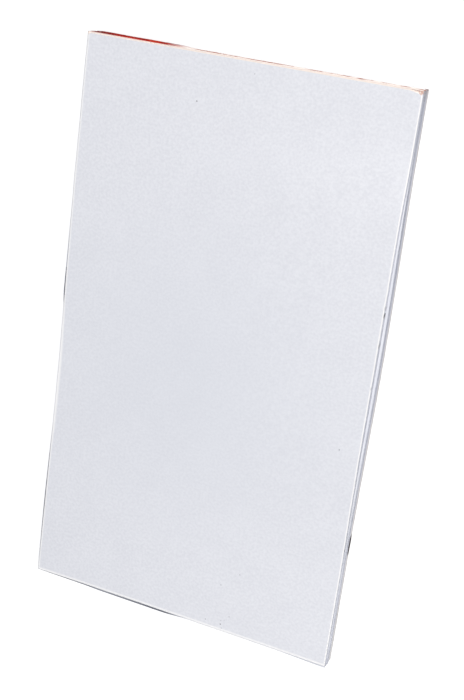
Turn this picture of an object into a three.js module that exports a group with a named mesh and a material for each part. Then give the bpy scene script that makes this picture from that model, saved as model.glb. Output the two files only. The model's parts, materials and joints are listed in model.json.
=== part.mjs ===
// Gummed log pad: a blank front cover, a block of tear-off sheets and a greyboard back,
// held together along the head edge by a brushed film of padding gum.
// Millimetres. +X is right, +Y is towards the gummed head, and +Z is out of the face.
// The board's underside lies on z = 0, and the leaves are centred on the Z axis.
import * as THREE from "three";

// Driving dimensions of the leaves
const leafWidth = 100;
const leafLength = 172;
const sheetCount = 40;
const sheetThickness = 0.095;
const coverThickness = 0.25;
const boardThickness = 1.2;
const leafGap = 0.005; // air between two leaves that lie on each other

// Driving dimensions of the gum film on the head edge
const gumThickness = 0.4;
const gumGap = 0.005; // between the leaves' edges and the film

// The block folds in three places, so its sheets turn in two packs
const upperSheetCount = 20;

// The cover and the first sheets bow off the block at the middle of the right edge
const bowedSheetCount = 12;
const bowHeight = 1.15;
const bowHeadMargin = 14; // flat length next to the head
const bowFootMargin = 24; // flat length next to the foot
const bowLeftMargin = 25; // flat width next to the left edge
const bowRise = 0.18; // share of the bow's length in which it rises from the head side
const bowFall = 0.37; // and in which it falls to the foot side
const bowCellsAlong = 15;
const bowCellsAcross = 6;

// The cover's top right corner is worn back from the head edge
const wornCornerWidth = 4;
const wornCornerDepth = 1;

// Edges and levels that follow from the driving dimensions
const rightX = leafWidth / 2;
const headY = leafLength / 2;
const sheetPitch = sheetThickness + leafGap;
const lowerSheetCount = sheetCount - upperSheetCount;
const lowerPackZ = boardThickness;
const upperPackZ = lowerPackZ + lowerSheetCount * sheetPitch;
const coverZ = upperPackZ + upperSheetCount * sheetPitch;
const faceZ = coverZ + leafGap + coverThickness;

// Colours and finishes of the four stocks
const coverStock = { color: 0xe6e8ee, roughness: 0.72, metalness: 0 };
const sheetStock = { color: 0xf1f1ee, roughness: 0.85, metalness: 0 };
const greyboard = { color: 0xbdb8ae, roughness: 0.92, metalness: 0 };
const paddingGum = { color: 0xa3200f, roughness: 0.38, metalness: 0 };

function namedMesh(name, geometry, finish) {
  const mesh = new THREE.Mesh(geometry, new THREE.MeshStandardMaterial(finish));
  mesh.name = name;
  return mesh;
}

// A flat piece given by its low and high corners
function block(name, low, high, finish) {
  const size = high.map((value, axis) => value - low[axis]);
  const mesh = namedMesh(name, new THREE.BoxGeometry(...size), finish);
  mesh.position.set(...high.map((value, axis) => (value + low[axis]) / 2));
  return mesh;
}

// Evenly spaced values from start to end, both included
function spread(start, end, cells) {
  return Array.from({ length: cells + 1 }, (unused, i) => start + ((end - start) * i) / cells);
}

// A soft step from 0 to 1
function ease(value) {
  const share = Math.min(1, Math.max(0, value));
  return share ** 2 * (3 - 2 * share);
}

// How far a bowed leaf stands off the block at one point: nothing at its flat
// margins, rising smoothly to bowHeight at the middle of the right edge
function bowAt(x, y) {
  const bowLength = leafLength - bowHeadMargin - bowFootMargin;
  const across = Math.max(0, (x + rightX - bowLeftMargin) / (leafWidth - bowLeftMargin));
  const along = (headY - bowHeadMargin - y) / bowLength;
  return bowHeight * across ** 2 * ease(along / bowRise) * ease((1 - along) / bowFall);
}

// Grid lines that all bowed leaves share, so that their faces stay parallel
function bowStations() {
  const across = spread(bowLeftMargin - rightX, rightX - wornCornerWidth, bowCellsAcross);
  const along = spread(bowFootMargin - headY, headY - bowHeadMargin, bowCellsAlong);
  return { xs: [-rightX, ...across, rightX], ys: [-headY, ...along, headY] };
}

// A leaf of even thickness over the shared grid, closed round its four edges
function bowedLeafGeometry(bottomZ, thickness, cornerDepth) {
  const { xs, ys } = bowStations();
  const points = [];
  for (const height of [bottomZ, bottomZ + thickness]) {
    ys.forEach((y, row) => {
      xs.forEach((x, column) => {
        const isWornCorner = row === ys.length - 1 && column === xs.length - 1;
        points.push(x, isWornCorner ? y - cornerDepth : y, height + bowAt(x, y));
      });
    });
  }

  const layer = xs.length * ys.length;
  const index = (level, row, column) => level * layer + row * xs.length + column;
  const faces = [];
  for (let row = 0; row < ys.length - 1; row += 1) {
    for (let column = 0; column < xs.length - 1; column += 1) {
      for (const level of [0, 1]) {
        const a = index(level, row, column);
        const b = index(level, row, column + 1);
        const c = index(level, row + 1, column + 1);
        const d = index(level, row + 1, column);
        faces.push(...(level ? [a, b, c, a, c, d] : [a, c, b, a, d, c]));
      }
    }
  }

  const rim = [
    ...xs.slice(1).map((x, i) => [0, i]),
    ...ys.slice(1).map((y, i) => [i, xs.length - 1]),
    ...xs.slice(1).map((x, i) => [ys.length - 1, xs.length - 1 - i]),
    ...ys.slice(1).map((y, i) => [ys.length - 1 - i, 0]),
  ];
  rim.forEach(([row, column], i) => {
    const [nextRow, nextColumn] = rim[(i + 1) % rim.length];
    const a = index(0, row, column);
    const b = index(0, nextRow, nextColumn);
    const c = index(1, nextRow, nextColumn);
    const d = index(1, row, column);
    faces.push(a, b, c, a, c, d);
  });

  const geometry = new THREE.BufferGeometry();
  geometry.setAttribute("position", new THREE.Float32BufferAttribute(points, 3));
  geometry.setIndex(faces);
  geometry.computeVertexNormals();
  return geometry;
}

function backingBoard() {
  const low = [-rightX, -headY, 0];
  return block("backing_board", low, [rightX, headY, boardThickness], greyboard);
}

// Sheet 1 lies under the cover and the last sheet lies on the board
function logSheet(number) {
  const name = `log_sheet_${String(number).padStart(2, "0")}`;
  const bottomZ = lowerPackZ + (sheetCount - number) * sheetPitch + leafGap;
  if (number <= bowedSheetCount) {
    return namedMesh(name, bowedLeafGeometry(bottomZ, sheetThickness, 0), sheetStock);
  }
  const high = [rightX, headY, bottomZ + sheetThickness];
  return block(name, [-rightX, -headY, bottomZ], high, sheetStock);
}

function frontCover() {
  const geometry = bowedLeafGeometry(coverZ + leafGap, coverThickness, wornCornerDepth);
  return namedMesh("front_cover", geometry, coverStock);
}

// One length of the gum film, over the head edges of the leaves between two levels
function gumFilm(name, bottomZ, topZ) {
  const low = [-rightX, headY + gumGap, bottomZ];
  return block(name, low, [rightX, headY + gumGap + gumThickness, topZ], paddingGum);
}

function sheetPack(firstNumber, lastNumber) {
  const pack = new THREE.Group();
  for (let number = firstNumber; number <= lastNumber; number += 1) pack.add(logSheet(number));
  return pack;
}

// The board and what turns on it, each length of film with the leaves that it holds
const logPad = new THREE.Group();
logPad.name = "log_pad";

const blockBase = new THREE.Group();
blockBase.add(backingBoard(), gumFilm("padding_gum_board", 0, lowerPackZ));

const lowerPack = sheetPack(upperSheetCount + 1, sheetCount);
lowerPack.add(gumFilm("padding_gum_lower", lowerPackZ + leafGap, upperPackZ));

const upperPack = sheetPack(1, upperSheetCount);
upperPack.add(gumFilm("padding_gum_upper", upperPackZ + leafGap, coverZ));

const turningCover = new THREE.Group();
turningCover.add(frontCover(), gumFilm("padding_gum_cover", coverZ + leafGap, faceZ));

logPad.add(blockBase, lowerPack, upperPack, turningCover);

export default logPad;
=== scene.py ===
import json
import math
import random

import bpy
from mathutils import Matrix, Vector, noise


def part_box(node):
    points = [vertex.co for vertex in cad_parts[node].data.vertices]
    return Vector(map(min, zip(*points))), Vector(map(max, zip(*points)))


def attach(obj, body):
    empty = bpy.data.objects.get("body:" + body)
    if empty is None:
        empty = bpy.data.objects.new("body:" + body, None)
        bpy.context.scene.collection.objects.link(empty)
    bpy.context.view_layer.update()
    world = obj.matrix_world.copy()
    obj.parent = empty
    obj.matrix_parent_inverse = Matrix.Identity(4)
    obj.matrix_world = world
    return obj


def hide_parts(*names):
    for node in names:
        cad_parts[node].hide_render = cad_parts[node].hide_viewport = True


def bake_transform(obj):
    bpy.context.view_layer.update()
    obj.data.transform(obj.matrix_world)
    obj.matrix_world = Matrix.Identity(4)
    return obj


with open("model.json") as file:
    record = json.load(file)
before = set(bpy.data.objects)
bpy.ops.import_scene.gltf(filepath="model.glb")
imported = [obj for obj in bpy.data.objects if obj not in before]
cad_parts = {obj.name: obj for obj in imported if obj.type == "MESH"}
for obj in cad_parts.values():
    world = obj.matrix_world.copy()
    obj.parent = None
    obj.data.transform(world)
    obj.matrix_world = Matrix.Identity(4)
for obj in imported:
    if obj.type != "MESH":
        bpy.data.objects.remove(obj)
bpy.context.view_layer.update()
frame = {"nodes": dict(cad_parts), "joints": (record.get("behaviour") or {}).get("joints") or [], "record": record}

mm = 0.001  # the scene is in metres, and paper sizes read best in millimetres

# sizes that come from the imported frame
boardLow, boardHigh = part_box("backing_board")
lastLow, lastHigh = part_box("log_sheet_40")
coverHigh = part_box("front_cover")[1]
coverGumLow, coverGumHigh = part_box("padding_gum_cover")

leftX, rightX = boardLow.x, boardHigh.x
footY, headY = boardLow.y, boardHigh.y
sheetThickness = lastHigh.z - lastLow.z
coverThickness = coverGumHigh.z - coverGumLow.z
faceZ = coverGumHigh.z  # the cover's face where it lies flat
bowHeight = coverHigh.z - faceZ
bodyOf = {node: body for body, nodes in frame["record"]["behaviour"]["bodies"].items() for node in nodes}


# helpers for colour, nodes and meshes

def hexColour(code):
    # sRGB hex to the linear values that Blender's sockets hold
    values = [int(code[i:i + 2], 16) / 255 for i in (1, 3, 5)]
    linear = [v / 12.92 if v <= 0.04045 else ((v + 0.055) / 1.055) ** 2.4 for v in values]
    return (*linear, 1.0)


def addNode(tree, kind, inputs, **settings):
    # adds a node, sets it up, and fills each input with a value, a socket or another node's first output
    node = tree.nodes.new("ShaderNode" + kind)
    for name, value in settings.items():
        setattr(node, name, value)
    for name, value in inputs.items():
        if isinstance(value, bpy.types.Node):
            value = value.outputs[0]
        if isinstance(value, bpy.types.NodeSocket):
            tree.links.new(value, node.inputs[name])
        else:
            node.inputs[name].default_value = value
    return node


def newMaterial(name, roughness, ior):
    material = bpy.data.materials.new(name)
    material.use_nodes = True
    tree = material.node_tree
    shader = tree.nodes["Principled BSDF"]
    shader.inputs["Roughness"].default_value = roughness
    shader.inputs["IOR"].default_value = ior
    shader.inputs["Metallic"].default_value = 0
    place = addNode(tree, "TexCoord", {}).outputs["Object"]
    return material, tree, shader, place


def grain(size, detail=2):
    # noise inputs for grains that are about this many millimetres wide
    return {"Scale": 1 / (size * mm), "Detail": detail}


def stretched(tree, place, x, y, z):
    # coordinates in which a pattern is drawn out along each axis by these factors
    return addNode(tree, "VectorMath", {0: place, 1: (1 / x, 1 / y, 1 / z)}, operation="MULTIPLY")


def surface(tree, shader, colour, height, depth):
    # the finished colour, and a relief that is depth millimetres high
    bump = addNode(tree, "Bump", {"Height": height, "Distance": depth * mm, "Strength": 0.6})
    tree.links.new(colour.outputs[0], shader.inputs["Base Color"])
    tree.links.new(bump.outputs[0], shader.inputs["Normal"])


def rough(x, y, z, size):
    # smooth noise from about -1 to 1, with grains size millimetres wide
    return noise.noise(Vector((x, y, z)) / (size * mm))


def ease(value, low, high):
    # 0 below low, 1 above high, and a soft step between them
    t = min(1, max(0, (value - low) / (high - low)))
    return t * t * (3 - 2 * t)


def spread(start, end, cells):
    return [start + (end - start) * i / cells for i in range(cells + 1)]


def metres(values):
    # from the millimetres of the dictionaries
    return [value * mm for value in values]


def newMesh(name, points, faces, materials):
    # faces come with a material number; the edges, number 1, are flat shaded
    mesh = bpy.data.meshes.new(name)
    mesh.from_pydata(points, [], [corners for corners, _ in faces])
    for material in materials:
        mesh.materials.append(material)
    mesh.polygons.foreach_set("material_index", [index for _, index in faces])
    mesh.polygons.foreach_set("use_smooth", [index == 0 for _, index in faces])
    mesh.update()
    piece = bpy.data.objects.new(name, mesh)
    bpy.context.scene.collection.objects.link(piece)
    return piece


def leafMesh(name, levels, us, vs, place, lift, materials):
    # a closed leaf with a whole grid below and above, and a rim between them.
    # levels are (height, inset) upwards; place gives x and y from 0 to 1, and lift the rise there
    lastColumn, lastRow = len(us) - 1, len(vs) - 1
    step = lastColumn + 1
    rim = [(c, 0) for c in range(lastColumn)] + [(lastColumn, r) for r in range(lastRow)]
    rim += [(lastColumn - c, lastRow) for c in range(lastColumn)]
    rim += [(0, lastRow - r) for r in range(lastRow)]
    grid = [(c, r) for r in range(lastRow + 1) for c in range(step)]
    points, rings = [], []
    for number, (height, inset) in enumerate(levels):
        whole = number in (0, len(levels) - 1)
        start = len(points)
        for c, r in grid if whole else rim:
            x, y = place(us[c], vs[r], inset)
            points.append((x, y, height + lift(x, y)))
        rings.append([start + r * step + c for c, r in rim] if whole else list(range(start, len(points))))
    top = len(points) - len(grid)
    faces = []
    for r in range(lastRow):
        for c in range(lastColumn):
            a = r * step + c
            b, d = a + 1, a + step
            faces.append(((a, d, d + 1, b), 1))
            faces.append(((top + a, top + b, top + d + 1, top + d), 0))
    for lower, upper in zip(rings, rings[1:]):
        for i in range(len(rim)):
            j = (i + 1) % len(rim)
            faces.append(((lower[i], lower[j], upper[j], upper[i]), 1))
    return newMesh(name, points, faces, materials)


def loftMesh(name, xs, outlines, materials):
    # a skin over outlines of (y, z) that run anticlockwise as seen from the right, closed at both ends
    points = [(x, y, z) for x, outline in zip(xs, outlines) for y, z in outline]
    size = len(outlines[0])
    faces = []
    for s in range(len(xs) - 1):
        for i in range(size):
            a, b = s * size + i, s * size + (i + 1) % size
            faces.append(((a, b, b + size, a + size), 0))
    last = (len(xs) - 1) * size
    faces.append((tuple(reversed(range(size))), 0))
    faces.append((tuple(range(last, last + size)), 0))
    return newMesh(name, points, faces, materials)


# how the cover and the first leaves stand off the block at the middle of the right edge

bow = {
    "headMargin": 14,  # mm that stay flat next to the head
    "footMargin": 24,
    "leftMargin": 25,
    "rise": 0.18,  # share of the bow's length in which it rises from the head side
    "fall": 0.37,  # and in which it falls to the foot side
    "fan": 0.003,  # how much less each deeper leaf rises
    "bulge": 0.5,  # mm that the flat leaves and the board stand out there
    "bowedBulge": 0.13,  # the same for the last bowed leaf; the cover is drawn back all the way
    "bulgeHead": 16,  # mm from the head and the foot, between which the side stands out
    "bulgeFoot": 40,
    "bulgeReach": 20,  # mm from the right edge, over which a leaf is drawn out
}


def alongAt(y, headMargin, footMargin):
    # 0 to 1 between the lengths next to the head and the foot
    length = headY - footY - (headMargin + footMargin) * mm
    return min(1, max(0, (headY - headMargin * mm - y) / length))


def bowAt(x, y, leaf):
    # leaf 0 is the cover
    across = max(0, (x - leftX - bow["leftMargin"] * mm) / (rightX - leftX - bow["leftMargin"] * mm))
    along = alongAt(y, bow["headMargin"], bow["footMargin"])
    share = ease(along, 0, bow["rise"]) * ease(1 - along, 0, bow["fall"])
    return bowHeight * (1 - bow["fan"] * leaf) * min(1, across) ** 2 * share


def bulgeAt(x, y, most):
    along = alongAt(y, bow["bulgeHead"], bow["bulgeFoot"])
    nearRight = ease(x, rightX - bow["bulgeReach"] * mm, rightX)
    return most * mm * nearRight * math.sin(math.pi * along) ** 2


# each start and end is a stretch in mm, over which a cut grows or fades
trim = {
    "reach": 6,  # mm from an edge, over which its uneven trim fades into the leaf
    "footLeft": 0.2,  # mm that the block is short at the foot, near the left corner
    "footLeftEnd": (-34, -26),  # x
    "footRight": 0.5,  # and in the right half
    "footRightStart": (-5, 5),  # x
    "cornerStart": 32,  # x from which it comes out again, up to the right corner
    "cornerShare": 0.7,
    "left": 0.7,  # mm that it is short at the left edge, below the middle
    "leftStart": (-9, 1),  # below the middle
    "leftEnd": (-68, -12),  # y
    "leftOut": 0.1,  # mm that it stands out along the rest of that edge
    "leftOutStart": (-82, -55),  # below the middle, so this is near the head
}


def trimmed(x, y):
    # moves a point of the block's outline in to where the uneven trim left it
    nearFoot = ease(-y, -footY - trim["reach"] * mm, -footY)
    nearLeft = ease(-x, -leftX - trim["reach"] * mm, -leftX)
    atLeft = trim["footLeft"] * (1 - ease(x, *metres(trim["footLeftEnd"])))
    toCorner = 1 - trim["cornerShare"] * ease(x, trim["cornerStart"] * mm, rightX)
    atRight = trim["footRight"] * ease(x, *metres(trim["footRightStart"])) * toCorner
    short = ease(-y, *metres(trim["leftStart"])) * ease(y, *metres(trim["leftEnd"]))
    moved = (trim["left"] + trim["leftOut"]) * short
    moved -= trim["leftOut"] * ease(-y, *metres(trim["leftOutStart"]))
    return x + moved * mm * nearLeft, y + (atLeft + atRight) * mm * nearFoot


# the front cover

cover = {
    "waver": 0.07,  # mm that the card stands off flat
    "waverSize": 38,
    "edgeWobble": 0.05,
    "footShort": 0.35,  # mm that it was cut shorter than the sheets
    "footHollow": 0.35,  # mm more in the middle
    "hollowMiddle": 10,  # x in mm where it is deepest
    "hollowReach": 59,
    "leftShort": 0.6,  # mm that it has crept in at the left, most below the middle
    "creepGrows": (-0.1, 0.38),  # shares of the length, from the foot
    "creepEnds": (0.38, 0.78),
    "edgeReach": 3,  # mm from an edge, over which its unevenness fades into the card
    "wornWidth": 4,  # mm of the head edge that are rubbed back, up to the right corner
    "wornDepth": 0.9,
    "wornReach": 4,
    "cornerRadius": 1.1,
    "nicks": [(27.05, 0.08), (16.2, 0.08)],  # y and depth of dents in the right edge, in mm
    "nickWidth": 0.8,
    "face": "#edeff4",
    "cloud": "#e3e5eb",
    "cloudSize": 9,  # mm, the uneven formation of the card
    "cloudShare": 0.3,
    "flockSize": 0.8,
    # painted shade: a darker, cooler colour over the middle of the face, with its centre, reach and strength
    "dulled": "#dee2e9",
    "dulledMiddle": (-4, -8),  # x and y in mm
    "dulledReach": 75,
    "dulledShare": 0.5,
    # painted highlight: the cut edges are painted paler, and warmer next to the gum
    "cutEdge": "#ffffff",
    "warmEdge": "#fff0e4",  # next to the gum
    "cutEdgeWidth": 0.6,  # mm, and how many times as wide on the left, right, foot and head
    "cutEdgeShares": (1.5, 0.85, 1.9, 0.75),
    "leftEdgeLeast": 0.85,  # how much of its width the left one has at its ends
    "leftEdgeMore": 0.9,  # and how much more where it is widest
    "leftEdgeWidest": 0.39,  # share of the length, from the foot
    "leftEdgeReach": 0.14,
    "backDark": "#dcdee2",
    "backLight": "#ebecef",
    # small dark flecks pressed into the card: x, y and radius in mm, and the colour
    "flecks": [
        (-13.6, 72.4, 0.3, "#85868c"),
        (2.6, 82.6, 0.2, "#9a9ba2"),
        (43.8, -16.5, 0.26, "#7c7d84"),
        (19.3, -64.9, 0.22, "#94959c"),
        (13.7, -70.2, 0.22, "#94959c"),
        (15.3, -83.2, 0.3, "#66666c"),
        (15.3, -81.9, 0.16, "#85868c"),
        (16.4, -81.5, 0.14, "#94959c"),
        (15.8, -84.4, 0.18, "#85868c"),
        (17.8, -79.8, 0.2, "#8c8d94"),
        (10.2, -83.2, 0.24, "#94959c"),
        (50, 3.6, 0.3, "#7c7d84"),
    ],
    "fleckCore": 0.4,  # share of the radius in which a fleck is full
    "fleckStrength": 0.8,
    # and on the right edge, over the card's and the first sheets' cut edges
    "edgeFlecks": [
        (50.15, 24.9, 0.95, "#040408"),
        (50, 27.05, 0.75, "#6a6a74"),
        (50, 16.2, 0.8, "#3c3c46"),
        (50, -46.8, 0.7, "#7c7e88"),
    ],
    "edgeFleckDrop": 0.65,  # mm that their middles are below the face
    "edgeFleckCore": 0.8,
    "plyThickness": 0.13,
    "plyFluff": "#fff3ea",
    "plyStain": "#d9a893",
}


def flecked(tree, place, colour, flecks, drop, core, strength):
    # the colour with small dark specks over it, each centred drop millimetres below the cover's face
    for x, y, radius, code in flecks:
        x, y, radius = x * mm, y * mm, radius * mm
        centre = (x, y, faceZ + coverLift(min(x, rightX), y) - drop * mm)
        away = addNode(tree, "VectorMath", {0: place, 1: centre}, operation="DISTANCE")
        spot = {"Value": away.outputs["Value"], 1: radius * core, 2: radius, 3: strength, 4: 0}
        spot = addNode(tree, "MapRange", spot)
        colour = addNode(tree, "MixRGB", {"Fac": spot, "Color1": colour, "Color2": hexColour(code)})
    return colour


def edgeFlecked(tree, place, colour):
    # the flecks of the right edge, at full strength
    core, drop = cover["edgeFleckCore"], cover["edgeFleckDrop"]
    return flecked(tree, place, colour, cover["edgeFlecks"], drop, core, 1)


def uncoatedCoverCard():
    # uncoated white card, machine finished: matt and cool white, with a faintly cloudy formation
    material, tree, shader, place = newMaterial("uncoatedCoverCard", 0.7, 1.5)
    cloud = addNode(tree, "TexNoise", {"Vector": place, **grain(cover["cloudSize"], 3)})
    flock = addNode(tree, "TexNoise", {"Vector": place, **grain(cover["flockSize"])})
    uneven = {0: cloud, 1: cover["cloudShare"], 2: flock}
    uneven = addNode(tree, "Math", uneven, operation="MULTIPLY_ADD")
    middle = 0.5 + 0.5 * cover["cloudShare"]
    uneven = addNode(tree, "MapRange", {"Value": uneven, 1: middle - 0.2, 2: middle + 0.2})
    colours = {"Color1": hexColour(cover["cloud"]), "Color2": hexColour(cover["face"])}
    colour = addNode(tree, "MixRGB", {"Fac": uneven, **colours})

    # painted shade: the middle of the face is painted darker and cooler than its edges
    centre = (*metres(cover["dulledMiddle"]), faceZ)
    away = addNode(tree, "VectorMath", {0: place, 1: centre}, operation="DISTANCE")
    faceShadeMask = {"Value": away.outputs["Value"], 1: cover["dulledReach"] * mm, 2: 0, 4: cover["dulledShare"]}
    faceShadeMask = addNode(tree, "MapRange", faceShadeMask, interpolation_type="SMOOTHSTEP")
    colours = {"Color1": colour, "Color2": hexColour(cover["dulled"])}
    colour = addNode(tree, "MixRGB", {"Fac": faceShadeMask, **colours})

    # painted highlight: the cut edges are painted paler, as a lit bevel looks; the mesh says how far in a point
    # is, in mm
    inside = addNode(tree, "Attribute", {}, attribute_name="fromEdge").outputs["Fac"]
    highlightMask = {"Value": inside, 1: cover["cutEdgeWidth"], 2: cover["cutEdgeWidth"] * 0.4}
    highlightMask = addNode(tree, "MapRange", highlightMask)
    axes = addNode(tree, "SeparateXYZ", {0: place})
    warm = {"Value": axes.outputs["Y"], 1: headY - 1 * mm, 2: headY - 0.4 * mm}
    warm = addNode(tree, "MapRange", warm)
    colours = {"Color1": hexColour(cover["cutEdge"]), "Color2": hexColour(cover["warmEdge"])}
    edge = addNode(tree, "MixRGB", {"Fac": warm, **colours})
    colour = addNode(tree, "MixRGB", {"Fac": highlightMask, "Color1": colour, "Color2": edge})

    core, strength = cover["fleckCore"], cover["fleckStrength"]
    colour = flecked(tree, place, colour, cover["flecks"], 0, core, strength)
    # the fibres are 0.03 mm wide, and drawn coarser so that they show
    fibre = addNode(tree, "TexNoise", {"Vector": stretched(tree, place, 3, 1, 1), **grain(0.5)})
    surface(tree, shader, colour, fibre, 0.01)
    return material


def cutCoverCard():
    # back and cut edges of the same card: a little darker, and furry where the blade went through
    material, tree, shader, place = newMaterial("cutCoverCard", 0.8, 1.5)
    fibre = addNode(tree, "TexNoise", {"Vector": stretched(tree, place, 1, 1, 0.3), **grain(0.4, 3)})
    uneven = addNode(tree, "MapRange", {"Value": fibre, 1: 0.3, 2: 0.7})
    colours = {"Color1": hexColour(cover["backDark"]), "Color2": hexColour(cover["backLight"])}
    colour = addNode(tree, "MixRGB", {"Fac": uneven, **colours})
    colour = edgeFlecked(tree, place, colour)
    surface(tree, shader, colour, fibre, 0.015)
    return material


def tornCardPly():
    # inner ply of the card, where the corner is rubbed through: loose fibres that the gum stained
    material, tree, shader, place = newMaterial("tornCardPly", 0.9, 1.5)
    fluff = addNode(tree, "TexNoise", {"Vector": place, **grain(0.45, 3)})
    uneven = addNode(tree, "MapRange", {"Value": fluff, 1: 0.4, 2: 0.66})
    colours = {"Color1": hexColour(cover["plyFluff"]), "Color2": hexColour(cover["plyStain"])}
    colour = addNode(tree, "MixRGB", {"Fac": uneven, **colours})
    surface(tree, shader, colour, fluff, 0.08)
    return material


def wornAt(x):
    # how far the head edge is rubbed back near the right corner
    share = max(0, 1 - (rightX - x) / (cover["wornWidth"] * mm))
    ragged = 0.16 * rough(x, 0, 0, 0.8) * min(1, share * 3)
    return max(0, cover["wornDepth"] * (share ** 1.4 + ragged)) * mm


def coverPlace(u, v, inset):
    x = leftX + u * (rightX - leftX)
    y = footY + v * (headY - footY)
    reach = cover["edgeReach"] * mm
    nearRight = ease(x, rightX - reach, rightX)
    nearLeft = ease(-x, -leftX - reach, -leftX)
    nearFoot = ease(-y, -footY - reach, -footY)
    y -= wornAt(x) * ease(y, headY - cover["wornReach"] * mm, headY)
    fromDeepest = (x - cover["hollowMiddle"] * mm) / (cover["hollowReach"] * mm)
    hollow = cover["footHollow"] * (1 - fromDeepest ** 4)
    y += nearFoot * mm * (cover["footShort"] + hollow + cover["edgeWobble"] * rough(x, 0, 0, 9))
    for nickY, depth in cover["nicks"]:
        dent = max(0, 1 - abs(y - nickY * mm) / (cover["nickWidth"] * mm))
        x -= depth * mm * dent ** 2 * nearRight
    x += nearRight * mm * cover["edgeWobble"] * rough(0, y, 0, 6)
    creep = cover["leftShort"] * ease(v, *cover["creepGrows"]) * (1 - ease(v, *cover["creepEnds"]))
    x += nearLeft * mm * (creep + cover["edgeWobble"] * rough(1, y, 0, 8))
    # the corner is rounded by handling
    radius = cover["cornerRadius"] * mm
    centre = Vector((rightX - radius, headY - cover["wornDepth"] * mm - radius))
    away = Vector((x, y)) - centre
    if away.x > 0 and away.y > 0 and away.length > radius:
        x, y = centre + away * (radius / away.length)
    return x, y


def coverLift(x, y):
    # the card only wavers upwards, and not where the gum holds it
    free = ease(headY - y, 1 * mm, 30 * mm)
    waver = 0.5 + 0.5 * rough(x, y, 0, cover["waverSize"])
    return bowAt(x, y, 0) + cover["waver"] * mm * waver * free


def makeCover(faceCard, cutCard):
    base = coverGumLow.z
    levels = [(base, 0), (base + coverThickness / 2, 0), (base + coverThickness, 0)]
    us = spread(0, 0.9, 80) + spread(0.9, 1, 45)[1:]  # finer near the worn corner
    vs = spread(0, 0.94, 150) + spread(0.94, 1, 40)[1:]
    us, vs = sorted({*us, 0.003, 0.006}), sorted({*vs, 0.0017, 0.0035})  # and along the painted edge highlights
    piece = leafMesh("frontCoverCard", levels, us, vs, coverPlace, coverLift, [faceCard, cutCard])
    width, length = (rightX - leftX) / mm, (headY - footY) / mm
    left, right, foot, head = cover["cutEdgeShares"]
    grid = []
    for v in vs:
        ends = min(v * length / foot, (1 - v) * length / head)
        fromWidest = (v - cover["leftEdgeWidest"]) / cover["leftEdgeReach"]
        more = cover["leftEdgeMore"] * max(0, 1 - fromWidest ** 2)
        side = left * (cover["leftEdgeLeast"] + more)
        grid += [min(u * width / side, (1 - u) * width / right, ends) for u in us]
    rimCount = len(piece.data.vertices) - 2 * len(grid)
    fromEdge = piece.data.attributes.new("fromEdge", "FLOAT", "POINT")
    fromEdge.data.foreach_set("value", grid + [0] * rimCount + grid)
    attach(piece, "cover")
    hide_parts("front_cover")


def plyPlace(u, v, inset):
    x = rightX - mm * (cover["wornWidth"] + 0.5 - u * (cover["wornWidth"] + 0.2))
    inner = headY - wornAt(x) - 0.5 * mm
    tip = 0.9 * mm * ease(u, 0.8, 1) ** 2
    outer = headY - 0.06 * mm - tip + 0.12 * mm * rough(x, 3 * mm, 0, 0.5)
    return x, inner + v * max(0.1 * mm, outer - inner)


def plyLift(x, y):
    return 0.03 * mm * (1 + rough(x, y, 0, 0.5))


def makeTornPly(ply):
    base = coverGumLow.z
    levels = [(base, 0), (base + cover["plyThickness"] * mm, 0)]
    us, vs = spread(0, 1, 50), spread(0, 1, 8)
    piece = leafMesh("tornCornerPly", levels, us, vs, plyPlace, plyLift, [ply, ply])
    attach(piece, "cover")


makeCover(uncoatedCoverCard(), cutCoverCard())
makeTornPly(tornCardPly())
print("cover made")


# the tear-off sheets

sheets = {
    "slip": 0.12,  # mm that a lift of sheets has crept sideways at the foot
    "footUneven": 0.08,  # mm that one sheet is longer or shorter than the next
    "edgeWobble": 0.03,
    "paper": "#eff2f9",
    "cloud": "#e8ebf4",
    # the edges' tone, darker than the paper: partly their own, partly painted shade of the gaps between the sheets
    "edgeLight": "#e0e3ee",
    "edgeDark": "#c6cad7",
    # painted shade on the block's side, below and on the bowed leaves
    "handled": "#8a8f9f",
    "handledBand": (1.0, 2.3),  # mm below the bowed leaves, where the painted shade on the block's side fades out
    "handledShare": 0.87,
    "handledMiddle": 6,  # y in mm where the painted shade on the side is centred
    "handledReach": (45, 62),  # mm from there, between which the painted shade fades
    "handledEnds": 0.6,  # to this share
    "cleanBow": (15, 52),  # y in mm, between which the bowed leaves' edges lose their painted shade
    # painted contact shadow along the foot and left edges
    "thumbed": "#767984",
    "thumbedWidth": 0.85,  # mm along the foot and left edges
    "thumbedLeast": 0.68,  # share of the grey in the middle of the foot's stretch
    "thumbedMiddle": (-25, -8),  # x in mm, between which it deepens towards the middle
    "thumbedCorner": (-28, -34),  # and towards the corner
    "thumbedEnd": (-3, 3),  # and between which it ends
    "thumbedUpper": (70, 92),  # mm from the head, along the left edge
    "thumbedLower": (105, 125),  # mm from the head, between which it sets in again
    "thumbedRest": 0.15,  # share along the rest of that edge
    "gumStain": "#eec4b4",
    "gumCreep": 0.25,  # mm
    # painted reflection of the red gum on the side near the head: its colour, ragged end, reach and strength
    "cornerStain": "#97918a",
    "cornerRagged": 8,  # mm that the noise moves the stain's end
    "cornerReach": (0.5, 3.5),
    "cornerShare": 0.45,
}

ruling = {
    "ink": "#8796ad",
    "lineWidth": 0.3,  # mm
    "headLineWidth": 0.5,
    "sideMargin": 6,
    "tableTop": 23,  # mm from the head edge
    "rowHeight": 7,
    "rows": 20,
    "columns": [22, 38, 82],  # mm from the left edge
    "fieldLevel": 15,  # mm from the head edge
    "fields": [(6, 58), (64, 94)],
}


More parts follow.
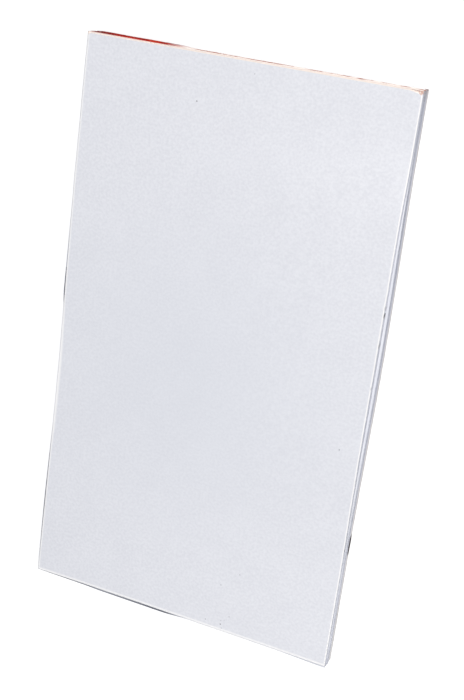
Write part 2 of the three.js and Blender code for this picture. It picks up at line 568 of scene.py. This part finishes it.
def ruledOffsetPaper():
    # 80 gram offset paper, printed with a plain log table: matt white with fine soft blue-grey lines
    material, tree, shader, place = newMaterial("ruledOffsetPaper", 0.82, 1.5)
    cloud = addNode(tree, "TexNoise", {"Vector": place, **grain(9, 3)})
    uneven = addNode(tree, "MapRange", {"Value": cloud, 1: 0.35, 2: 0.65})
    colours = {"Color1": hexColour(sheets["cloud"]), "Color2": hexColour(sheets["paper"])}
    colour = addNode(tree, "MixRGB", {"Fac": uneven, **colours})

    axes = addNode(tree, "SeparateXYZ", {0: place})
    fromLeft = addNode(tree, "Math", {0: axes.outputs["X"], 1: leftX}, operation="SUBTRACT")
    fromHead = addNode(tree, "Math", {0: headY, 1: axes.outputs["Y"]}, operation="SUBTRACT")
    left, right = ruling["sideMargin"], (rightX - leftX) / mm - ruling["sideMargin"]
    top, row = ruling["tableTop"], ruling["rowHeight"]
    foot = top + ruling["rows"] * row

    def strip(value, low, high):
        # 1 between two distances in mm
        middle, half = (low + high) / 2 * mm, (high - low) / 2 * mm
        return addNode(tree, "Math", {0: value, 1: middle, 2: half}, operation="COMPARE")

    def inkLine(across, level, width, along, start, end):
        line, length = strip(across, level - width / 2, level + width / 2), strip(along, start, end)
        return addNode(tree, "Math", {0: line, 1: length}, operation="MULTIPLY")

    # the rows are one line, mirrored every half row
    thin, thick = ruling["lineWidth"], ruling["headLineWidth"]
    ladder = addNode(tree, "Math", {0: fromHead, 1: top * mm}, operation="SUBTRACT")
    ladder = addNode(tree, "Math", {0: ladder, 1: row / 2 * mm}, operation="PINGPONG")
    rows = addNode(tree, "Math", {0: ladder, 1: thin / 2 * mm}, operation="LESS_THAN")
    inTable = inkLine(fromLeft, (left + right) / 2, right - left, fromHead, top - thin, foot + thin)
    ink = addNode(tree, "Math", {0: rows, 1: inTable}, operation="MULTIPLY")
    lines = [inkLine(fromLeft, x, thin, fromHead, top, foot) for x in (left, right, *ruling["columns"])]
    lines += [inkLine(fromHead, level, thick, fromLeft, left, right) for level in (top, top + row)]
    level = ruling["fieldLevel"]
    lines += [inkLine(fromHead, level, thin, fromLeft, *field) for field in ruling["fields"]]
    for line in lines:
        ink = addNode(tree, "Math", {0: ink, 1: line}, operation="MAXIMUM")
    # the paper takes the ink unevenly
    tooth = addNode(tree, "TexNoise", {"Vector": place, **grain(0.4)})
    coverage = addNode(tree, "MapRange", {"Value": tooth, 1: 0.3, 2: 0.6, 3: 0.95, 4: 0.7})
    ink = addNode(tree, "Math", {0: ink, 1: coverage}, operation="MULTIPLY")
    colour = addNode(tree, "MixRGB", {"Fac": ink, "Color1": colour, "Color2": hexColour(ruling["ink"])})

    # gum crept in between the leaves at the head
    ragged = addNode(tree, "TexNoise", {"Vector": place, **grain(1.8)})
    creep = {0: ragged, 1: -1.6 * mm, 2: fromHead}
    creep = addNode(tree, "Math", creep, operation="MULTIPLY_ADD")
    stain = {"Value": creep, 1: 0, 2: sheets["gumCreep"] * mm, 3: 0.9, 4: 0}
    stain = addNode(tree, "MapRange", stain)
    colours = {"Color1": colour, "Color2": hexColour(sheets["gumStain"])}
    colour = addNode(tree, "MixRGB", {"Fac": stain, **colours})

    # painted contact shadow along the left half of the foot edge, and two stretches of the left edge
    thumbedWidth, least = sheets["thumbedWidth"] * mm, sheets["thumbedLeast"]
    fromFoot = addNode(tree, "Math", {0: axes.outputs["Y"], 1: footY}, operation="SUBTRACT")
    foot = addNode(tree, "MapRange", {"Value": fromFoot, 1: thumbedWidth, 2: thumbedWidth * 0.8})
    start, end = metres(sheets["thumbedMiddle"])
    toMiddle = addNode(tree, "MapRange", {"Value": axes.outputs["X"], 1: start, 2: end, 3: least})
    start, end = metres(sheets["thumbedCorner"])
    toCorner = addNode(tree, "MapRange", {"Value": axes.outputs["X"], 1: start, 2: end, 3: least})
    toEnds = addNode(tree, "Math", {0: toMiddle, 1: toCorner}, operation="MAXIMUM")
    start, end = metres(sheets["thumbedEnd"])
    ending = addNode(tree, "MapRange", {"Value": axes.outputs["X"], 1: start, 2: end, 3: 1, 4: 0})
    foot = addNode(tree, "Math", {0: foot, 1: toEnds}, operation="MULTIPLY")
    foot = addNode(tree, "Math", {0: foot, 1: ending}, operation="MULTIPLY")
    side = addNode(tree, "MapRange", {"Value": fromLeft, 1: thumbedWidth, 2: thumbedWidth * 0.8})
    upper = strip(fromHead, *sheets["thumbedUpper"])
    start, end = metres(sheets["thumbedLower"])
    lower = {"Value": fromHead, 1: start, 2: end, 3: sheets["thumbedRest"]}
    lower = addNode(tree, "MapRange", lower)
    shadowedStretches = addNode(tree, "Math", {0: upper, 1: lower}, operation="MAXIMUM")
    side = addNode(tree, "Math", {0: side, 1: shadowedStretches}, operation="MULTIPLY")
    thumbed = addNode(tree, "Math", {0: foot, 1: side}, operation="MAXIMUM")
    colours = {"Color1": colour, "Color2": hexColour(sheets["thumbed"])}
    colour = addNode(tree, "MixRGB", {"Fac": thumbed, **colours})
    surface(tree, shader, colour, tooth, 0.008)
    return material


def cutOffsetPaper():
    # blank back and guillotined edges of the same paper: the stack shows as fine cool grey lines, darker than the
    # paper, partly as painted shade of the gaps between the sheets
    material, tree, shader, place = newMaterial("cutOffsetPaper", 0.88, 1.5)
    # sheets are 0.1 mm apart, and their lines are drawn coarser
    layers = addNode(tree, "TexNoise", {"Vector": stretched(tree, place, 60, 60, 1), **grain(0.4)})
    uneven = addNode(tree, "MapRange", {"Value": layers, 1: 0.38, 2: 0.62})
    colours = {"Color1": hexColour(sheets["edgeDark"]), "Color2": hexColour(sheets["edgeLight"])}
    colour = addNode(tree, "MixRGB", {"Fac": uneven, **colours})

    # painted shade on the edges where the leaves bow, most right under the bowed ones
    axes = addNode(tree, "SeparateXYZ", {0: place})
    blockTop = bowedBase()
    full, none = [blockTop - depth * mm for depth in sheets["handledBand"]]
    most = sheets["handledShare"]
    sideShadeMask = addNode(tree, "MapRange", {"Value": axes.outputs["Z"], 1: none, 2: full, 4: most})
    # the bowed leaves' edges get no painted shade near the head, and more of it from the middle on
    above = addNode(tree, "Math", {0: axes.outputs["Z"], 1: blockTop}, operation="GREATER_THAN")
    grey, unshadedY = metres(sheets["cleanBow"])
    lessShade = {"Value": axes.outputs["Y"], 1: unshadedY, 2: grey, 3: -most, 4: 0}
    lessShade = addNode(tree, "MapRange", lessShade)
    sideShadeMask = addNode(tree, "Math", {0: above, 1: lessShade, 2: sideShadeMask}, operation="MULTIPLY_ADD")
    fromMiddle = {0: axes.outputs["Y"], 1: sheets["handledMiddle"] * mm}
    fromMiddle = addNode(tree, "Math", fromMiddle, operation="SUBTRACT")
    fromMiddle = addNode(tree, "Math", {0: fromMiddle}, operation="ABSOLUTE")
    near, far = metres(sheets["handledReach"])
    window = {"Value": fromMiddle, 1: far, 2: near, 3: sheets["handledEnds"], 4: 1}
    window = addNode(tree, "MapRange", window)
    sideShadeMask = addNode(tree, "Math", {0: sideShadeMask, 1: window}, operation="MULTIPLY")
    colours = {"Color1": colour, "Color2": hexColour(sheets["handled"])}
    colour = addNode(tree, "MixRGB", {"Fac": sideShadeMask, **colours})
    colour = edgeFlecked(tree, place, colour)

    # painted reflection: the side is painted darker and warmer near the head, where the red gum's light falls on
    # it
    fibre = addNode(tree, "TexNoise", {"Vector": place, **grain(0.5)})
    gumReflectionMask = {0: fibre, 1: sheets["cornerRagged"] * mm, 2: axes.outputs["Y"]}
    gumReflectionMask = addNode(tree, "Math", gumReflectionMask, operation="MULTIPLY_ADD")
    near, far = [headY + reach * mm for reach in sheets["cornerReach"]]
    gumReflectionMask = addNode(tree, "MapRange", {"Value": gumReflectionMask, 1: near, 2: far, 4: sheets["cornerShare"]})
    colours = {"Color1": colour, "Color2": hexColour(sheets["cornerStain"])}
    colour = addNode(tree, "MixRGB", {"Fac": gumReflectionMask, **colours})

    # the blank back is as white as the face
    cloud = addNode(tree, "TexNoise", {"Vector": place, **grain(9, 3)})
    colours = {"Color1": hexColour(sheets["cloud"]), "Color2": hexColour(sheets["paper"])}
    back = addNode(tree, "MixRGB", {"Fac": cloud, **colours})
    facing = addNode(tree, "SeparateXYZ", {0: addNode(tree, "TexCoord", {}).outputs["Normal"]})
    facing = addNode(tree, "Math", {0: facing.outputs["Z"]}, operation="ABSOLUTE")
    facing = addNode(tree, "Math", {0: facing, 1: 0.5}, operation="GREATER_THAN")
    colour = addNode(tree, "MixRGB", {"Fac": facing, "Color1": colour, "Color2": back})
    surface(tree, shader, colour, fibre, 0.01)
    return material


def sheetNames():
    return sorted(node for node in frame["nodes"] if node.startswith("log_sheet_"))


def bowedSheets():
    heights = {name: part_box(name)[1].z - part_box(name)[0].z for name in sheetNames()}
    return [name for name in sheetNames() if heights[name] > 2 * sheetThickness]


def bowedBase():
    # the top of the block, under the last leaf that bows
    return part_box(bowedSheets()[-1])[0].z


def makeSheet(name, number, slip, longer, materials):
    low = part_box(name)[0]
    bowed = name in bowedSheets()
    most = bow["bowedBulge"] * number / len(bowedSheets()) if bowed else bow["bulge"]

    def place(u, v, inset):
        x = leftX + u * (rightX - leftX)
        y = footY - longer + v * (headY - footY + longer)
        wobble = sheets["edgeWobble"] * mm * rough(0, y, number * mm, 5)
        x, y = trimmed(x + bulgeAt(x, y, most), y)
        return x + slip * (1 - v) + (u - 0.5) * wobble, y

    def lift(x, y):
        return bowAt(x, y, number) if bowed else 0

    us, vs = spread(0, 1, 40), spread(0, 1, 60 if bowed else 24)
    levels = [(low.z, 0), (low.z + sheetThickness, 0)]
    piece = leafMesh("tearOffSheet" + name[-2:], levels, us, vs, place, lift, materials)
    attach(piece, bodyOf[name])
    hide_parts(name)


def makeSheets(materials):
    dice = random.Random(11)
    slip = 0
    for number, name in enumerate(sheetNames(), 1):
        if dice.random() < 0.2:  # the block was knocked up in lifts of about five sheets
            slip = dice.uniform(-1, 1) * sheets["slip"]
        ownSlip = slip + dice.uniform(-1, 1) * sheets["slip"] * 0.3
        longer = dice.uniform(-1, 1) * sheets["footUneven"]
        makeSheet(name, number, ownSlip * mm, longer * mm, materials)


makeSheets([ruledOffsetPaper(), cutOffsetPaper()])
print("sheets made")


# the backing board

board = {
    "edgeRound": 0.12,  # mm
    "edgeWobble": 0.06,
    "cornerRadius": 0.7,
    "light": "#e5e4e3",
    "dark": "#d8d6d5",
    "paleFleck": "#ebe9e4",
    "darkFleck": "#9c978e",
    "scuff": "#1c0c0e",  # a dark brown spot on the right edge, towards the foot
    "scuffPlace": (50, -46.9, 0.7),  # mm
    "scuffReach": (1.5, 3.9, 0.95),  # mm
    "scuffCore": 0.75,  # share of its reach in which it is full
}


def greyPulpBoard():
    # grey board pressed from mixed waste paper: dull warm grey with pale and dark flecks of fibre
    material, tree, shader, place = newMaterial("greyPulpBoard", 0.9, 1.5)
    cloud = addNode(tree, "TexNoise", {"Vector": place, **grain(5, 4)})
    uneven = addNode(tree, "MapRange", {"Value": cloud, 1: 0.3, 2: 0.7})
    colours = {"Color1": hexColour(board["dark"]), "Color2": hexColour(board["light"])}
    colour = addNode(tree, "MixRGB", {"Fac": uneven, **colours})
    fibre = addNode(tree, "TexNoise", {"Vector": stretched(tree, place, 2.5, 1, 1), **grain(0.9)})
    pale = addNode(tree, "MapRange", {"Value": fibre, 1: 0.62, 2: 0.72, 4: 0.6})
    colours = {"Color1": colour, "Color2": hexColour(board["paleFleck"])}
    colour = addNode(tree, "MixRGB", {"Fac": pale, **colours})
    shive = addNode(tree, "TexNoise", {"Vector": stretched(tree, place, 1, 3, 1), **grain(1.3)})
    dark = addNode(tree, "MapRange", {"Value": shive, 1: 0.68, 2: 0.76, 4: 0.55})
    colours = {"Color1": colour, "Color2": hexColour(board["darkFleck"])}
    colour = addNode(tree, "MixRGB", {"Fac": dark, **colours})
    # the dark spot is drawn in coordinates where it is a ball of radius 1
    reach = metres(board["scuffReach"])
    centre = [value / size for value, size in zip(metres(board["scuffPlace"]), reach)]
    away = {0: stretched(tree, place, *reach), 1: centre}
    away = addNode(tree, "VectorMath", away, operation="DISTANCE")
    scuff = {"Value": away.outputs["Value"], 1: 1, 2: board["scuffCore"]}
    scuff = addNode(tree, "MapRange", scuff)
    colours = {"Color1": colour, "Color2": hexColour(board["scuff"])}
    colour = addNode(tree, "MixRGB", {"Fac": scuff, **colours})
    surface(tree, shader, colour, fibre, 0.05)
    return material


def boardPlace(u, v, inset):
    x = leftX + inset + u * (rightX - leftX - 2 * inset)
    y = footY + inset + v * (headY - footY - 2 * inset)
    side = ease(abs(x), rightX - 1 * mm, rightX)
    x += math.copysign(side, x) * board["edgeWobble"] * mm * rough(0, y, 5 * mm, 3)
    x, y = trimmed(x + bulgeAt(x, y, bow["bulge"]), y)
    # the foot corners are knocked round
    radius = board["cornerRadius"] * mm
    centre = Vector((rightX - inset - radius, -footY - inset - radius))
    away = Vector((abs(x), -y)) - centre
    if away.x > 0 and away.y > 0 and away.length > radius:
        corner = centre + away * (radius / away.length)
        x, y = math.copysign(corner.x, x), -corner.y
    return x, y


def makeBoard(pulp):
    low, high = boardLow.z, boardHigh.z
    edge = board["edgeRound"] * mm
    levels = [(low, edge), (low + edge, 0), ((low + high) / 2, 0), (high - edge, 0), (high, edge)]
    us = spread(0, 0.02, 8) + spread(0.02, 0.98, 50)[1:] + spread(0.98, 1, 8)[1:]
    vs = spread(0, 0.012, 8) + spread(0.012, 1, 90)[1:]
    piece = leafMesh("greyBackingBoard", levels, us, vs, boardPlace, lambda x, y: 0, [pulp, pulp])
    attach(piece, "block_base")
    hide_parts("backing_board")


makeBoard(greyPulpBoard())
print("board made")


# the padding gum: four lengths of one brushed film, and a thin skin over each fold

gum = {
    "thickStart": 2,  # mm from the left edge; the coat is thick and dark from here
    "thickEnd": 31,  # to here
    "thinCoat": 0.14,  # mm
    "thickCoat": 0.19,
    "mostCoat": 0.39,
    "leastCoat": 0.05,
    "brushMarks": 0.05,  # mm, and the small lumps between them
    "lumps": 0.04,
    "endTaper": 0.1,  # mm that the coat is thinner at its ends
    "endLength": 1.2,
    "layerHeight": 0.2,
    "lapWidth": 0.03,  # mm that it laps over the cover's face
    "lapThickness": 0.02,
    "skinHeight": 0.44,
    "skinThickness": 0.035,
    "thick": "#c4200c",
    "bright": "#e8431c",
    "dark": "#520904",
    "thin": "#fff4ed",
    "bare": "#ffffff",  # low on the thin stretch only the white sheets show
    "rubbed": "#a04c36",
    "rubbedDepth": (0.9, 2.3),  # mm below the face, the height at which dashes of gum are left
    "dashHeight": 1.6,  # mm
    "dashStretch": 3,
    "dashLevels": (0.43, 0.53),
    "dashShare": 0.95,
    "cornerTip": "#6b3a34",
    "tipReach": (0.6, 1.4),  # mm past the right edge, in the coordinate of the ragged ends
    "tipDepth": (2.4, 3.4),  # mm below the face
    "tipShare": 0.9,
    "endRagged": 3,  # mm that the ends of the thick coat wander
    "darkestReach": (3, 9),  # mm from its start, over which it is darkest
    "darkestShare": 0.5,
    "fade": (-6, 2),  # mm from its end, over which it thins out
    "lip": (0.17, 0.1),  # mm past the leaves, nearer than which it is rubbed pale
    "streakLength": 9,
    "streakHeight": 0.35,
    "brightRim": 0.3,  # mm at the face, over which the film is painted brighter: a painted highlight where its rim catches the light
}


def brushedPaddingGum():
    # red padding compound, brushed on and dried to rubber: dark where thick, peach where rubbed thin
    material, tree, shader, place = newMaterial("brushedPaddingGum", 0.6, 1.47)
    shader.inputs["Specular IOR Level"].default_value = 0.02  # paper dust on it takes the gloss away
    drawn = stretched(tree, place, gum["streakLength"] / gum["streakHeight"], 1, 1)
    streak = addNode(tree, "TexNoise", {"Vector": drawn, **grain(gum["streakHeight"], 3)})
    patch = addNode(tree, "TexNoise", {"Vector": place, **grain(3.5, 3)})
    depth = addNode(tree, "MapRange", {"Value": streak, 1: 0.35, 2: 0.65})
    colours = {"Color1": hexColour(gum["dark"]), "Color2": hexColour(gum["thick"])}
    red = addNode(tree, "MixRGB", {"Fac": depth, **colours})
    axes = addNode(tree, "SeparateXYZ", {0: place})
    # painted highlight: the film is painted brighter near the cover's face, and also in random patches
    rimLow = faceZ - gum["brightRim"] * mm
    rim = addNode(tree, "MapRange", {"Value": axes.outputs["Z"], 1: rimLow, 2: faceZ, 4: 0.55})
    bright = addNode(tree, "MapRange", {"Value": patch, 1: 0.5, 2: 0.7, 4: 0.45})
    bright = addNode(tree, "Math", {0: rim, 1: bright}, operation="ADD", use_clamp=True)
    red = addNode(tree, "MixRGB", {"Fac": bright, "Color1": red, "Color2": hexColour(gum["bright"])})
    upper, lower = [faceZ - depth * mm for depth in gum["rubbedDepth"]]
    bare = addNode(tree, "MapRange", {"Value": axes.outputs["Z"], 1: lower, 2: lower - 0.4 * mm})
    colours = {"Color1": hexColour(gum["thin"]), "Color2": hexColour(gum["bare"])}
    worn = addNode(tree, "MixRGB", {"Fac": bare, **colours})
    dashed = stretched(tree, place, gum["dashStretch"], 1, 1)
    dashes = addNode(tree, "TexNoise", {"Vector": dashed, **grain(gum["dashHeight"])})
    least, most = gum["dashLevels"]
    dashes = addNode(tree, "MapRange", {"Value": dashes, 1: least, 2: most, 4: gum["dashShare"]})
    middle, half = (upper + lower) / 2, (upper - lower) / 2
    rubbed = addNode(tree, "Math", {0: axes.outputs["Z"], 1: middle, 2: half}, operation="COMPARE")
    rubbed = addNode(tree, "Math", {0: rubbed, 1: dashes}, operation="MULTIPLY")
    colours = {"Color1": worn, "Color2": hexColour(gum["rubbed"])}
    worn = addNode(tree, "MixRGB", {"Fac": rubbed, **colours})

    # the thick coat has ragged ends
    ragged = addNode(tree, "TexNoise", {"Vector": place, **grain(2)})
    wander = {0: ragged, 1: gum["endRagged"] * mm, 2: axes.outputs["X"]}
    wander = addNode(tree, "Math", wander, operation="MULTIPLY_ADD")
    start, end = leftX + gum["thickStart"] * mm, leftX + gum["thickEnd"] * mm
    near, far = [start + reach * mm for reach in gum["darkestReach"]]
    darkest = {"Value": wander, 1: near, 2: far, 3: gum["darkestShare"], 4: 0}
    darkest = addNode(tree, "MapRange", darkest)
    red = addNode(tree, "MixRGB", {"Fac": darkest, "Color1": red, "Color2": hexColour(gum["dark"])})
    started = {"Value": wander, 1: start, 2: start + 0.8 * mm, 3: 1, 4: 0}
    started = addNode(tree, "MapRange", started)
    near, far = [end + reach * mm for reach in gum["fade"]]
    ended = addNode(tree, "MapRange", {"Value": wander, 1: near, 2: far})
    thin = addNode(tree, "Math", {0: started, 1: ended}, operation="MAXIMUM")
    # and its lip next to the cover is rubbed pale
    far, near = [headY + reach * mm for reach in gum["lip"]]
    lip = addNode(tree, "MapRange", {"Value": axes.outputs["Y"], 1: far, 2: near})
    thin = addNode(tree, "Math", {0: thin, 1: lip}, operation="MAXIMUM")
    colour = addNode(tree, "MixRGB", {"Fac": thin, "Color1": red, "Color2": worn})
    # the right end is dark again, low on the film
    near, far = [rightX + reach * mm for reach in gum["tipReach"]]
    tip = addNode(tree, "MapRange", {"Value": wander, 1: near, 2: far, 4: gum["tipShare"]})
    upper, lower = [faceZ - depth * mm for depth in gum["tipDepth"]]
    low = addNode(tree, "MapRange", {"Value": axes.outputs["Z"], 1: upper, 2: lower})
    tip = addNode(tree, "Math", {0: tip, 1: low}, operation="MULTIPLY")
    colours = {"Color1": colour, "Color2": hexColour(gum["cornerTip"])}
    colour = addNode(tree, "MixRGB", {"Fac": tip, **colours})
    surface(tree, shader, colour, streak, 0.06)
    return material


def coatAt(x, z):
    # the film's thickness: brush streaks along the edge, small lumps, and thin ends
    fromLeft = (x - leftX) / mm
    fromEnd = min(fromLeft, (rightX - x) / mm)
    thick = (1 - ease(fromLeft, gum["thickEnd"], gum["thickEnd"] + 3)) * ease(fromLeft, 0, 5)
    coat = gum["thinCoat"] + (gum["thickCoat"] - gum["thinCoat"]) * thick
    coat += gum["brushMarks"] * noise.noise(Vector((fromLeft / 8, z / mm * 3.5, 0)))
    coat += gum["lumps"] * rough(x, 0, z, 1.1)
    coat -= gum["endTaper"] * (1 - ease(fromEnd, 0, gum["endLength"]))
    return min(gum["mostCoat"], max(gum["leastCoat"], coat)) * mm


def filmOutline(x, low, high, lapped):
    layers = round((high.z - low.z) / mm / gum["layerHeight"]) + 1
    outline = [(low.y, low.z)]
    outline += [(low.y + coatAt(x, z), z) for z in spread(low.z, high.z, layers)]
    if lapped:
        # it runs over the cover's face, but not where the corner is worn
        whole = 1 - min(1, wornAt(x) / (0.3 * mm))
        width = gum["lapWidth"] * (0.75 + 0.5 * rough(x, 0, 0, 1.3)) * whole * mm
        rise = gum["lapThickness"] * mm
        outline.append((low.y + coatAt(x, high.z) * 0.6, high.z + rise))
        outline.append((low.y - width * 0.6, high.z + rise * 0.8))
        outline.append((low.y - width, high.z + rise * 0.2))
    outline.append((low.y, high.z + 0.001 * mm))
    return outline


def makeFilm(pieceName, node, gumMaterial):
    low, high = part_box(node)
    xs = spread(leftX, rightX, 240)
    outlines = [filmOutline(x, low, high, node == "padding_gum_cover") for x in xs]
    piece = loftMesh(pieceName, xs, outlines, [gumMaterial])
    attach(piece, bodyOf[node])
    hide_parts(node)


def skinOutline(x, level):
    half, rise = gum["skinHeight"] / 2 * mm, gum["skinThickness"] * mm
    levels = spread(level - half, level + half, 10)
    inner = [(coverGumLow.y + coatAt(x, z) + 0.004 * mm, z) for z in levels]
    outer = [(y + 0.002 * mm + rise * ease(half - abs(z - level), 0, 0.1 * mm), z) for y, z in inner]
    return outer + inner[::-1]


def makeSkin(pieceName, joint, gumMaterial):
    # the outside of the film at a fold
    xs = spread(leftX, rightX, 240)
    x, y, z = joint["pos_m"]
    piece = loftMesh(pieceName, xs, [skinOutline(station, z) for station in xs], [gumMaterial])
    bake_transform(piece)


def makeGum(gumMaterial):
    makeFilm("gumFilmBoard", "padding_gum_board", gumMaterial)
    makeFilm("gumFilmLower", "padding_gum_lower", gumMaterial)
    makeFilm("gumFilmUpper", "padding_gum_upper", gumMaterial)
    makeFilm("gumFilmCover", "padding_gum_cover", gumMaterial)
    for pieceName, joint in zip(("foldSkinLower", "foldSkinUpper", "foldSkinCover"), frame["joints"]):
        makeSkin(pieceName, joint, gumMaterial)


makeGum(brushedPaddingGum())
print("padding gum made")


# floor, light and camera

room = {
    "floorSize": 4,  # m
    "floorDrop": 0.02,  # mm under the board
    "floorColour": "#a0a0a2",
    "floorGlow": 0.84,  # what the camera sees on top of the lit floor, so that it reads white
    "skyColour": "#e6ebf7",
    "skyStrength": 0.47,
    "keyPlace": (0.52, -0.05, 0.78),  # m, above the right side
    "keySize": 0.45,
    "keyPower": 5.2,
    "headPlace": (0.12, 0.9, 0.16),  # low behind the head edge
    "headSize": 0.4,
    "headPower": 5,
    "lampColour": "#fffaf3",
}

photoCamera = {
    "place": (142.35, 124.06, 348.21),  # mm from the middle of the board
    "turns": (-14.93, 23.77, 8.07),  # degrees about X, Y and Z
    "lens": 68.97,
}


def seenDirectly(tree):
    # 1 for what is seen by the camera, in a gloss or through glass
    path = addNode(tree, "LightPath", {})
    seen = {0: path.outputs["Is Camera Ray"], 1: path.outputs["Is Glossy Ray"]}
    seen = addNode(tree, "Math", seen, operation="MAXIMUM")
    return addNode(tree, "Math", {0: seen, 1: path.outputs["Is Transmission Ray"]}, operation="MAXIMUM")


def makeFloor():
    # white painted board: evenly matt, and shown as plain white but for the shadow
    material, tree, shader, _ = newMaterial("mattWhiteFloor", 0.9, 1.45)
    shader.inputs["Base Color"].default_value = hexColour(room["floorColour"])
    shader.inputs["Specular IOR Level"].default_value = 0
    shader.inputs["Emission Color"].default_value = (1, 1, 1, 1)
    glow = addNode(tree, "Math", {0: seenDirectly(tree), 1: room["floorGlow"]}, operation="MULTIPLY")
    tree.links.new(glow.outputs[0], shader.inputs["Emission Strength"])
    half, level = room["floorSize"] / 2, boardLow.z - room["floorDrop"] * mm
    corners = [(-half, -half, level), (half, -half, level), (half, half, level), (-half, half, level)]
    newMesh("studioFloor", corners, [((0, 1, 2, 3), 0)], [material])


def makeSky():
    world = bpy.data.worlds.new("softStudio")
    world.use_nodes = True
    tree = world.node_tree
    seen = seenDirectly(tree)
    colours = {"Color1": hexColour(room["skyColour"]), "Color2": (1, 1, 1, 1)}
    colour = addNode(tree, "MixRGB", {"Fac": seen, **colours})
    strength = addNode(tree, "MapRange", {"Value": seen, 3: room["skyStrength"], 4: 1})
    tree.links.new(colour.outputs[0], tree.nodes["Background"].inputs["Color"])
    tree.links.new(strength.outputs[0], tree.nodes["Background"].inputs["Strength"])
    bpy.context.scene.world = world


def makeLamp(name, place, size, power):
    light = bpy.data.lights.new(name, "AREA")
    light.shape = "DISK"
    light.size = size
    light.energy = power
    light.color = hexColour(room["lampColour"])[:3]
    lamp = bpy.data.objects.new(name, light)
    lamp.location = place
    lamp.rotation_euler = (-lamp.location).to_track_quat("-Z", "Y").to_euler()
    bpy.context.scene.collection.objects.link(lamp)


def makeCamera():
    data = bpy.data.cameras.new("photoCamera")
    data.lens = photoCamera["lens"]
    data.clip_start = 0.01
    camera = bpy.data.objects.new("photoCamera", data)
    camera.location = metres(photoCamera["place"])
    camera.rotation_euler = [math.radians(value) for value in photoCamera["turns"]]
    bpy.context.scene.collection.objects.link(camera)
    bpy.context.scene.camera = camera


makeFloor()
makeSky()
makeLamp("softKey", room["keyPlace"], room["keySize"], room["keyPower"])
makeLamp("softHead", room["headPlace"], room["headSize"], room["headPower"])
makeCamera()
bpy.context.scene.view_settings.view_transform = "Standard"
print("floor, light and camera made")
